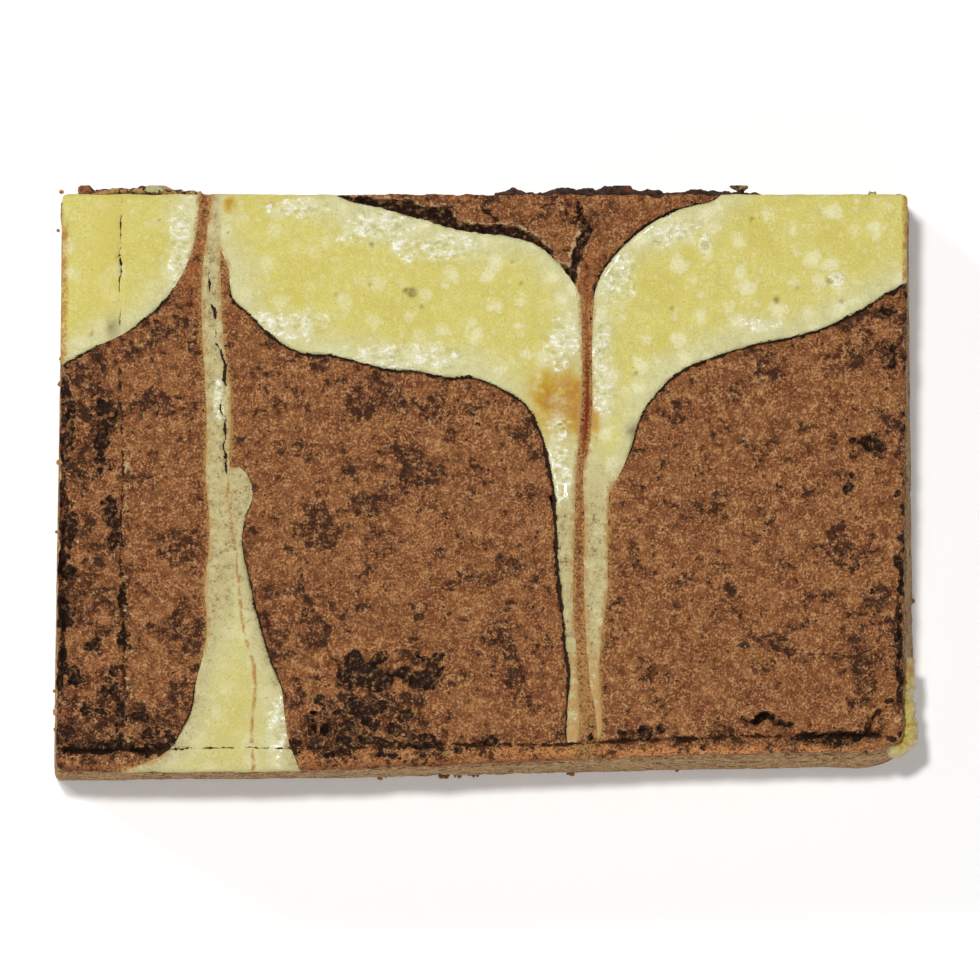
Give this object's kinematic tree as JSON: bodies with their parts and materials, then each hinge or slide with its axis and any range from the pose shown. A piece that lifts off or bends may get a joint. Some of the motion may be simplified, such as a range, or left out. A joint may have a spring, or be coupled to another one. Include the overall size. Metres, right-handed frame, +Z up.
{
  "type": "cream cheese brownie",
  "caption": "Rectangular cut of dense chocolate brownie with pools and stems of baked cream cheese let into its top, hairline cracks round them and crumbly cut sides.",
  "frame": {"origin": "middle of the box round the part, on the flat underside", "axes": "+X along the long side to the right as seen from above, +Y towards the back edge where the pools are widest, +Z up"},
  "size_m": [0.0924, 0.0628, 0.0221],
  "materials": {
    "chocolate_crumb": "baked chocolate crumb, dry and matt, with darker torn places",
    "cream_cheese": "baked cream cheese, smooth and softly glossy, with pale rims"
  },
  "bodies": {
    "root": {"brownie": "chocolate_crumb", "cream_cheese_left": "cream_cheese", "cream_cheese_middle": "cream_cheese", "cream_cheese_right": "cream_cheese", "cream_cheese_corner": "cream_cheese"}
  },
  "joints": []
}
